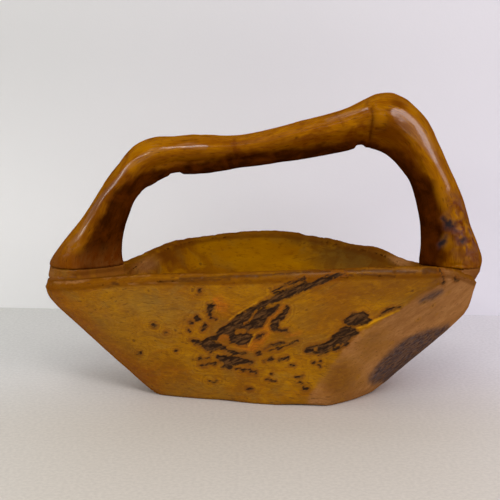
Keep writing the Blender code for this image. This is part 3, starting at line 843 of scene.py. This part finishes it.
burl, tree = new_material("burl_wood")
place = put(tree, "TexCoord")["Object"]
streak_place = turned_to(tree, place, FRONT_STREAK_WAY)
grain = grain_in(tree, place, 0.0008, 0.009, 15.0, 0.010)
slanted = grain_in(tree, streak_place, 0.0008, 0.006, 18.0, 0.006)
facet = grain_in(tree, turned_to(tree, place, FACET_GRAIN_WAY), 0.0011, 0.007, 12.0, 0.008)
eyes = eyes_in(tree, place, 0.012, 0.35)
value = kept_values(tree, bowl_values)
pocket_inputs = {"Vector": streak_place, "Distance": value["bark"]}
pocket = put(tree, "Group", pocket_inputs, node_tree=bark_pocket)
broad = noise_at(tree, place, 17.0, 3.0, 0.5, 0.6)[0]
parts = three_noises(tree, vector_of(tree, "MULTIPLY", place, (0.6, 1, 1)), 62.0, 3.0, 0.55, 1.0)
specks = three_noises(tree, vector_of(tree, "MULTIPLY", place, (0.4, 1, 1)), 460.0, 3.0, 0.6)
outer_side = added(tree, 1.0, (value["inside"], -0.75))


def figure(name):
    """One part of the grain: level at the left and below, slanted round the bark, faint inside."""
    both = put(tree, "Mix", {0: value["slant"], 2: grain[name], 3: slanted[name]})[0]
    return product(tree, both, outer_side)


glow = product(tree, value["ember"], ramp(tree, specks[2], 0.40, 0.62, 0.9, 0.4))
dim = product(tree, ramp(tree, specks[0], 0.52, 0.66), outer_side)
sparkle = product(tree, ramp(tree, specks[1], 0.56, 0.70), outer_side)
dull_settings = {"operation": "SUBTRACT", "use_clamp": True}
dull = put(tree, "Math", {0: value["inside"], 1: value["gold"]}, **dull_settings)[0]
inner = product(tree, dull, ramp(tree, parts[1], 0.42, 0.6, 0.1, 0.6))
shady = product(tree, value["olive"], value["inside"])
dots = product(tree, value["inside"], ramp(tree, specks[2], 0.54, 0.70))

# Ripples of grain that follow the bark's outline, fading away from it.
ripple_axes = {0: product(tree, value["bark"], 0.5), 1: 0.0, 2: 0.0}
ripple_place = put(tree, "CombineXYZ", ripple_axes)[0]
ripple_place = vector_of(tree, "ADD", ripple_place, vector_of(tree, "MULTIPLY", place, (45, 45, 45)))
ripple = ramp(tree, noise_at(tree, ripple_place, 1.0, 2.0)[0], 0.46, 0.60)
ripple = product(tree, ripple, ramp(tree, value["bark"], 17.0, 3.0))

dry_colour = layered(
    tree, BURL_DRY, (facet["Bands"], 0.6, BURL_DRY_DARK), (facet["Fibres"], 0.5, BURL_DRY_DARK)
)
stain = product(tree, value["stain"], ramp(tree, facet["Curl"], 0.0, 1.0, 1.0, 0.75))
stain_colour = mixed(tree, facet["Fibres"], BURL_STAIN, BURL_STAIN_DARK)
deep = product(tree, pocket["Streaks"], ramp(tree, value["bark"], -0.6, -2.6, 0.35, 0.8))
bark_colour = mixed(tree, deep, BARK_DARK, BARK_BROWN)
colour = layered(
    tree,
    mixed(tree, ramp(tree, broad, 0.40, 0.60), BURL_OCHRE, BURL_GOLD),
    (ramp(tree, parts[0], 0.43, 0.67), 0.52, BURL_BROWN),
    (ramp(tree, parts[1], 0.48, 0.68), 0.4, BURL_RUST),
    (ramp(tree, parts[2], 0.48, 0.66), 0.45, BURL_OLIVE),
    (value["olive"], 0.6, BURL_OLIVE),
    (value["rust"], 0.7, BURL_RUST),
    (value["umber"], 0.85, BURL_UMBER),
    (value["gold"], 0.7, BURL_GOLD),
    (glow, 1.0, BURL_EMBER),
    (figure("Bands"), 0.36, BURL_BROWN),
    (figure("Curl"), 0.22, BURL_GOLD),
    (figure("Fibres"), 0.34, BURL_BROWN),
    (dim, 0.20, BURL_BROWN),
    (sparkle, 0.13, BURL_SPARK),
    (inner, 1.0, BURL_INNER),
    (shady, 0.6, BURL_SHADY),
    (dots, 0.5, BURL_INNER),
    (value["smudge"], 0.8, BURL_INNER),
    (ripple, 0.42, BURL_BROWN),
    (value["dry_and_highlight"], 0.9, dry_colour),
    (value["bright"], 0.85, BURL_SPARK),
    (value["rim"], 0.75, BURL_RIM),
    (value["rim_dark"], 0.75, BURL_CRACK),
    (value["rim_light"], 0.35, BURL_RIM_LIGHT),
    (value["stump"], 0.8, BURL_STUMP),
    (eyes["Rings"], 0.25, BURL_GOLD),
    (eyes["Eyes"], 0.5, BURL_CRACK),
    (stain, 1.0, stain_colour),
    (figure("Pores"), 0.45, BURL_CRACK),
    (pocket["Edge"], 0.65, BARK_EDGE),
    (pocket["Inside"], 1.0, bark_colour),
)
relief = added(
    tree,
    0.0,
    (grain["Pores"], -0.6),
    (grain["Fibres"], -0.35),
    (facet["Fibres"], product(tree, value["dry_and_highlight"], -0.8)),
    (pocket["Streaks"], pocket["Inside"]),
)

# All the shine is the coat's, which is thin, missing from bare wood, and weaker where seen side-on.
bare = maths(tree, "MAXIMUM", maths(tree, "MAXIMUM", value["dry_and_highlight"], value["inside"]), value["rim"])
bare = maths(tree, "MAXIMUM", bare, pocket["Inside"])
side_on = put(tree, "LayerWeight", {"Blend": 0.5})["Facing"]
lacquered = ramp(tree, bare, 0.0, 1.0, 1.0, 0.0)
wood_surface(tree, {
    "Base Color": colour,
    "Roughness": added(tree, 0.42, (pocket["Inside"], 0.25), (value["dry_and_highlight"], 0.20), (value["rim"], 0.30)),
    "Normal": bumped(tree, relief, 0.45, 0.0004),
    "Coat Weight": product(tree, ramp(tree, side_on, 0.45, 0.80, 0.22, 0.01), lacquered),
    "Coat Roughness": 0.15,
    "Specular IOR Level": 0.0,
    "Specular Tint": WOOD_TINT,
})


def finished_piece(name, mesh, material, node):
    """The finished mesh as a piece that stands for its node and moves with the basket."""
    mesh.materials.clear()
    mesh.materials.append(material)
    mesh.shade_smooth()
    piece = bpy.data.objects.new(name, mesh)
    scene.collection.objects.link(piece)
    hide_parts(node)
    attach(piece, "root")
    return piece


finished_piece("burl_bowl", bowl_mesh, burl, "bowl")

# The handle: one bent branch, peeled, scraped and lacquered to a high gloss. It is the node's own
# surface in finer faces, with the branch's ridges, its knots, the crook's crease and two notches.
HANDLE_FACE = 0.0011
HANDLE_SHARP_EDGE = math.radians(50)
HANDLE_SMOOTHING = 40
HANDLE_DEPTH = -0.0096
HANDLE_LINE = (
    (-0.146, 0.100), (-0.1465, 0.112), (-0.139, 0.125), (-0.131, 0.140), (-0.124, 0.155), (-0.116, 0.168),
    (-0.106, 0.180), (-0.094, 0.1895), (-0.078, 0.194), (-0.058, 0.195), (-0.038, 0.196),
    (-0.019, 0.1975), (0.000, 0.200), (0.020, 0.204), (0.040, 0.2085), (0.058, 0.213), (0.072, 0.217),
    (0.084, 0.220), (0.096, 0.2205), (0.108, 0.215), (0.1175, 0.2055), (0.125, 0.194), (0.133, 0.181),
    (0.139, 0.1675), (0.144, 0.154), (0.148, 0.140), (0.151, 0.126), (0.153, 0.113), (0.154, 0.100),
)
SEAM_FILL = 0.00060  # glue that fills the seam under most of each foot
RIDGE_HEIGHT = 0.0006
LUMP_HEIGHT = 0.0004
RIPPLE_HEIGHT = 0.00008
LACQUER_THICKNESS = 0.0001
ARCH_FULLNESS = 0.0010

# Where the amber front turns into painted shade towards the arch, in pixels from the left foot to the right.
SHADE_EDGE = (
    (80, 262), (82, 246), (93, 234), (97, 220), (106, 206), (113, 192), (123, 184), (136, 177),
    (150, 170), (166, 167), (181, 164), (208, 161), (230, 155), (259, 151), (280, 150), (300, 149),
    (330, 143), (352, 139), (366, 142), (380, 149), (402, 154), (414, 165), (424, 175), (434, 183),
    (438, 200), (441, 214), (443, 227), (446, 241), (442, 254), (439, 263),
)

# Cuts into the branch, as lines in the photograph: their points, depth and reach in pixels.
FRONT_CUTS = (
    (((371, 106, 0.8), (373, 118, 1.0), (371, 132, 1.2), (369, 146, 1.4)), 0.0009, 2.4),
    (((374, 113, 0.4), (384, 112, 0.5), (388, 119, 0.5), (385, 128, 0.5), (376, 129, 0.4)), 0.0006, 1.8),
    (((449, 266, 0.5), (458, 264.5, 0.8), (467, 266, 0.4)), 0.0008, 1.3),
    (((469, 271, 0.3), (477, 272.5, 0.3)), 0.0006, 1.2),
    (((444, 224, 1.0), (452, 222, 1.5)), 0.0003, 4.0),
    (((461, 240, 0.8), (463, 241, 0.8)), 0.0004, 2.5),
    (((176, 161, 0.4), (190, 163, 0.7), (203, 160, 0.4)), 0.0005, 1.6),
    (((88, 240, 0.6), (94, 246, 1.4), (92, 252, 0.6)), 0.0004, 3.0),
)
UNDER_CUTS = (
    (((158, 180, 1.0), (166, 176.5, 2.0)), 0.0004, 3.0),
    (((172, 174.5, 1.6), (179, 173.5, 1.6)), 0.0018, 3.2),
    (((358.5, 147, 1.8), (362, 145, 1.8)), 0.0022, 3.0),
    (((144, 190, 2.0), (146, 187, 1.0)), 0.0006, 4.0),
)
OVER_LUMPS = (((183, 137, 2.0), (193, 136.5, 2.0)), ((206, 138, 0.5), (212, 138, 0.5)))
# Flats scraped along the branch, deepest along their middle: their line, depth and half width.
FLATS = (
    (((389, 107, 0), (398, 114, 0), (408, 121, 0), (420, 133, 0), (430, 148, 0), (439, 166, 0),
      (447, 186, 0)), 0.0017, 13.0),
    (((74, 241, 0), (92, 209, 0), (103, 192, 0), (118, 177, 0), (132, 165, 0)), 0.0004, 8.0),
)
# Where hands have polished the lacquer most: lines with their half width in pixels.
POLISHED = (
    ((70, 245, 1.0), (81, 231, 1.0), (93, 209, 0.8), (102, 196, 0.8), (118, 178, 0.8), (127, 168, 1.0),
     (144, 156, 2.0)),
    ((144, 156, 2.0), (151, 153, 1.4), (160, 150, 0.3), (176, 147.5, 0.5), (185, 146, 1.6), (205, 147, 1.4)),
    ((326, 120.5, 0.0), (340, 116.3, 0.4), (353, 112.5, 0.5), (368, 108.5, 0.5)),
)
POLISHED_WELL = (
    ((396, 112, 4.0), (401, 116, 7.0), (410, 124, 8.0), (421, 135, 7.0), (430, 148, 5.0), (437, 160, 3.0)),
)
POLISHED_LITTLE = (((437, 160, 3.0), (443, 173, 3.0), (449, 188, 2.0)),)
# Dark knots on the right foot, the creases of the crook, painted dark as their shade, and soft patches
# as on the bowl; the brown patches and the foot's dark patch add painted shade, and the pale patch on
# the grip takes some away.
KNOTS = (
    ((444, 219, 1.5), (447, 224.5, 3.6), (453, 226, 3.2), (457, 230, 1.2)),
    ((461.5, 240.5, 1.8), (463, 241, 1.6)),
    ((442, 244, 1.2), (445, 238, 1.0)),
)
CREASE_SHADE_LINES = (
    ((371, 108, 0.2), (373, 118, 0.6), (371, 131, 0.9), (369, 143, 0.6)),
    ((376, 129, 0.3), (386, 130, 0.3)),
)
HONEY_PATCHES = (
    (447, 242, 9, 13, 0, 1), (145, 147, 16, 12, 0, 1), (414, 110, 13, 7, 50, 1), (381, 117, 10, 15, 0, 0.8),
    (441, 196, 8, 30, -18, 0.8), (76, 246, 12, 12, 0, 0.5), (133, 166, 12, 9, -45, 1),
)
BROWN_PATCHES = ((388, 134, 40, 32, 40, 1), (201, 151, 26, 6, 0, 0.7))
KNEE_BROWN = ((398, 103, 13, 6, 25, 0.8),)
GRIP_PALE = ((250, 147, 20, 8, 0, 0.8),)
FOOT_DARK = ((430, 254, 24, 20, 60, 0.9),)
WEATHERED = ((455, 236, 28, 44, -15, 0.9),)
MOTTLED = ((462, 232, 26, 44, -20, 1), (455, 216, 20, 34, -20, 1))


def along_line(line, steps):
    """Even points along a smooth line through the given points, with their travel and direction."""
    points = np.array(line)
    padded = np.vstack([2 * points[0] - points[1], points, 2 * points[-1] - points[-2]])
    fine = []
    for before, start, end, after in zip(padded, padded[1:], padded[2:], padded[3:]):
        for t in np.arange(steps) / steps:
            fine.append(
                start
                + (end - before) * t / 2
                + (2 * before - 5 * start + 4 * end - after) * t**2 / 2
                + (3 * start - before - 3 * end + after) * t**3 / 2
            )
    fine = np.array([*fine, points[-1]])
    travel = np.concatenate([[0], np.cumsum(np.linalg.norm(np.diff(fine, axis=0), axis=1))])
    ahead = np.gradient(fine, axis=0)
    ahead /= np.linalg.norm(ahead, axis=1, keepdims=True)
    return fine, travel, ahead


handle_mesh = even_faces("handle", HANDLE_FACE)
handle_surface, handle_edges = node_surface("handle", HANDLE_SHARP_EDGE)
handle_low, handle_high = (np.array(corner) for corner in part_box("handle"))
places = laid_on(handle_surface, read_vectors(handle_mesh.vertices, "co"))
crisp = edge_distance(handle_edges, places)
places = smoothed(handle_mesh, places, HANDLE_SMOOTHING, ease(crisp, 0.0008, 0.004), 0.0)
places = drawn_to_edges(handle_edges, places, places[:, 2] < handle_low[2] + 0.002, 0.0006)
move_vertices(handle_mesh, places)
normals = read_vectors(handle_mesh.vertex_normals, "vector")

line, travel, ahead = along_line(HANDLE_LINE, 8)
flat = places[:, [0, 2]]
nearest = np.argmin(((flat[:, None, :] - line[None, :, :]) ** 2).sum(axis=2), axis=1)
reach = flat - line[nearest]
along = travel[nearest] + np.sum(reach * ahead[nearest], axis=1)
outer = reach[:, 1] * ahead[nearest, 0] - reach[:, 0] * ahead[nearest, 1]
back = places[:, 1] - HANDLE_DEPTH
grain_place = np.column_stack([along, outer, back])
turn = np.arctan2(back, outer)
across, down = seen = photo_place(places)
facing = ease(-normals[:, 1], -0.1, 0.3)

ridges = cloud(np.column_stack([along / 0.09, np.cos(turn) * 1.6, np.sin(turn) * 1.6]), 1.0, 11)
height = RIDGE_HEIGHT * ridges + LUMP_HEIGHT * cloud(places, 0.02, 12)
height += RIPPLE_HEIGHT * cloud(places, 0.006, 13) + LACQUER_THICKNESS
inner_side = ease(outer, -0.004, -0.010)
for line_of_flat, depth, half_width in FLATS:
    off_middle = stroke_distance(seen, (line_of_flat,)) / half_width
    flat = np.clip(1 - off_middle**2, 0, 1) ** 2 * facing
    height = height * (1 - ease(flat, 0, 0.5)) - depth * flat
for cuts, side in ((FRONT_CUTS, facing), (UNDER_CUTS, inner_side)):
    for cut, depth, reach_out in cuts:
        height -= depth * covered(seen, (cut,), reach_out, -0.5) * side
over_lumps = covered(seen, OVER_LUMPS, 9, -2)
height += LUMP_HEIGHT * over_lumps * ease(outer, 0.004, 0.012)
height += ARCH_FULLNESS * inner_side * ease(across, 135, 160) * ease(across, 362, 345)
height *= ease(crisp, 0.0004, 0.003)
places = places + normals * height[:, None]
closed_seam = ease(across, 78, 94) * (1 - ease(across, 440, 450)) + ease(across, 474, 478)
places[:, 2] -= SEAM_FILL * closed_seam * (places[:, 2] < handle_low[2] + 0.0002)
places = np.clip(places, handle_low - (0, 0, SEAM_FILL), handle_high)
move_vertices(handle_mesh, places)

marks = [np.argmin(np.hypot(across - u, down - v) + 50 * (facing < 0.5)) for u, v in SHADE_EDGE]
marks.sort(key=lambda index: along[index])
ragged_edge = 0.0026 * cloud(places, 0.012, 14) + 0.0012 * cloud(places, 0.004, 17)
past_edge = outer - np.interp(along, along[marks], outer[marks])
crease_shade = 0.7 * covered(seen, CREASE_SHADE_LINES, 1.8, -0.5)
# Painted shade: the inner side towards the arch is painted dark, and so are the creases and the foot's
# corner.
under = ease(past_edge + ragged_edge, 0.0030, -0.0034)
under = np.maximum(under, np.maximum(crease_shade, patches(seen, FOOT_DARK)) * facing)
# Painted shade too: a browner band above the dark, where the light falls off round the branch; the brown
# patches and the weathered spots are kept with it.
low_reach = 0.0135 - 0.0085 * ease(down, 150, 178) * ease(across, 380, 410)
painted_low_shade_and_brown = ease((past_edge + 1.4 * ragged_edge) / low_reach, 1.0, 0.25)
painted_low_shade_and_brown = np.maximum(painted_low_shade_and_brown, patches(seen, BROWN_PATCHES) * facing)
painted_low_shade_and_brown *= (1 - patches(seen, GRIP_PALE)) * (1 - 0.35 * ease(across, 365, 335))
weathered = patches(seen, WEATHERED) * ease(cloud(places, 0.008, 18), -0.15, 0.35)
weathered = np.maximum(weathered, patches(seen, KNEE_BROWN))
wobbly = across + 2 * cloud(places, 0.006, 15), down + 2 * cloud(places, 0.006, 16)
knots = stroke_distance(wobbly, KNOTS)
polish = 0.7 * covered(seen, POLISHED, 2.6, 0.0)
polish = np.maximum(polish, covered(seen, POLISHED_WELL, 2.5, -1.0))
polish = np.maximum(polish, 0.5 * covered(seen, POLISHED_LITTLE, 3.0, -1.0))
handle_values = {
    "under": under,
    "foot": ease(places[:, 2], 0.128, 0.108) * ease(-places[:, 0], 0.0, 0.05),
    "painted_low_shade_and_brown": np.maximum(painted_low_shade_and_brown, weathered * facing),
    "knots": np.clip(np.where(facing > 0.2, knots, 20), -8, 20),
    "gold": patches(seen, HONEY_PATCHES) * facing,
    "mottled": patches(seen, MOTTLED) * facing,
    "polish": np.maximum(polish * facing, 0.5 * ease(normals[:, 1], -0.1, 0.3)),
}
keep_values(handle_mesh, handle_values)
grain_attribute = handle_mesh.attributes.new("grain", "FLOAT_VECTOR", "POINT")
grain_attribute.data.foreach_set("vector", grain_place.astype(np.float32).ravel())

# The darkest colour and the dark red colour the painted shade, the darkest also the eyes and pores; the
# plain brown colours the browner band of painted shade.
BRANCH_AMBER = paint(132, 75, 0)
BRANCH_HONEY = paint(156, 99, 0)
BRANCH_RED = paint(98, 44, 2)
BRANCH_SHADE_BROWN = paint(88, 40, 0)
BRANCH_TAN = paint(112, 68, 34)
BRANCH_DARK = paint(40, 12, 0)
BRANCH_SHADE_RED = paint(76, 32, 2)
BRANCH_VIOLET = paint(96, 62, 58)
BRANCH_BLUE_BLACK = paint(38, 32, 36)

branch, tree = new_material("branch_wood")
place = put(tree, "TexCoord")["Object"]
lengthways = put(tree, "Attribute", attribute_name="grain")["Vector"]
grain = grain_in(tree, lengthways, 0.0008, 0.006, 14.0, 0.006)
eyes = eyes_in(tree, place, 0.018, 0.2)
value = kept_values(tree, handle_values)
parts = three_noises(tree, place, 48.0, 4.0, 0.6, 0.7)
mottles = three_noises(tree, place, 105.0, 3.0, 0.5, 0.6)


def mottle(index):
    """One of three kinds of spot, where the foot is mottled."""
    return product(tree, value["mottled"], ramp(tree, mottles[index], 0.42, 0.60))


# The colour of the painted shade on the branch's inner side.
dark = mixed(tree, ramp(tree, parts[2], 0.42, 0.66), BRANCH_DARK, BRANCH_SHADE_RED)
dark = layered(tree, dark, (grain["Bands"], 0.4, BRANCH_SHADE_RED))
foot_colour = mixed(tree, grain["Bands"], BURL_STUMP, BRANCH_RED)
knot_reach = added(tree, maths(tree, "SUBTRACT", value["knots"], 6.0), (mottles[0], 12.0))
colour = layered(
    tree,
    mixed(tree, grain["Bands"], BRANCH_AMBER, BRANCH_HONEY),
    (ramp(tree, parts[0], 0.50, 0.70), 0.8, BRANCH_RED),
    (grain["Curl"], 0.25, BRANCH_HONEY),
    (value["mottled"], 0.7, BRANCH_TAN),
    (grain["Fibres"], 0.40, BRANCH_RED),
    (mottle(0), 0.9, BRANCH_VIOLET),
    (mottle(1), 0.9, BRANCH_RED),
    (mottle(2), 0.9, BRANCH_HONEY),
    (value["painted_low_shade_and_brown"], 0.8, BRANCH_SHADE_BROWN),
    (value["under"], 0.94, dark),
    (value["foot"], 0.75, foot_colour),
    (value["gold"], 0.8, BRANCH_HONEY),
    (eyes["Eyes"], 0.4, BRANCH_DARK),
    (grain["Pores"], 0.45, BRANCH_DARK),
    (ramp(tree, knot_reach, 6.0, -1.0), 0.35, BRANCH_VIOLET),
    (ramp(tree, knot_reach, 3.5, -3.0), 0.95, BRANCH_BLUE_BLACK),
)
relief = added(tree, 0.0, (grain["Pores"], -0.5), (grain["Fibres"], -0.25))
side_on = put(tree, "LayerWeight", {"Blend": 0.5})["Facing"]
coat = ramp(tree, value["polish"], 0.0, 1.0, 0.06, 1.0)
coat = added(tree, coat, (value["under"], product(tree, coat, -0.8)))
wood_surface(tree, {
    "Base Color": colour,
    "Roughness": 0.42,
    "Normal": bumped(tree, relief, 0.25, 0.0003),
    "Coat Weight": product(tree, coat, ramp(tree, side_on, 0.40, 0.80, 1.0, 0.1)),
    "Coat Roughness": 0.16,
    "Coat IOR": 1.6,
    "Specular IOR Level": 0.0,
    "Specular Tint": WOOD_TINT,
})
finished_piece("branch_handle", handle_mesh, branch, "handle")

# The dowels: four plain pegs of pale hardwood, glued into bores in the bowl's ends and the
# handle's feet, which hide them. They are the nodes themselves with end grain and fibres.
DOWEL_PALE = paint(206, 172, 122)
DOWEL_DARK = paint(168, 126, 78)
dowel, tree = new_material("dowel_wood")
place = put(tree, "TexCoord")["Object"]
upright = put(tree, "Mapping", {"Vector": place, "Rotation": (0, math.pi / 2, 0)})[0]
grain = grain_in(tree, upright, 0.0006, 0.003, 16.0, 0.001)
colour = layered(tree, DOWEL_PALE, (grain["Bands"], 1.0, DOWEL_DARK), (grain["Fibres"], 0.4, DOWEL_DARK))
bump = bumped(tree, grain["Fibres"], 0.3, 0.0002)
wood_surface(tree, {"Base Color": colour, "Roughness": 0.62, "Normal": bump})
for name in ("dowel_left_outer", "dowel_left_inner", "dowel_right_inner", "dowel_right_outer"):
    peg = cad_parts[name]
    peg.data.materials.clear()
    peg.data.materials.append(dowel)
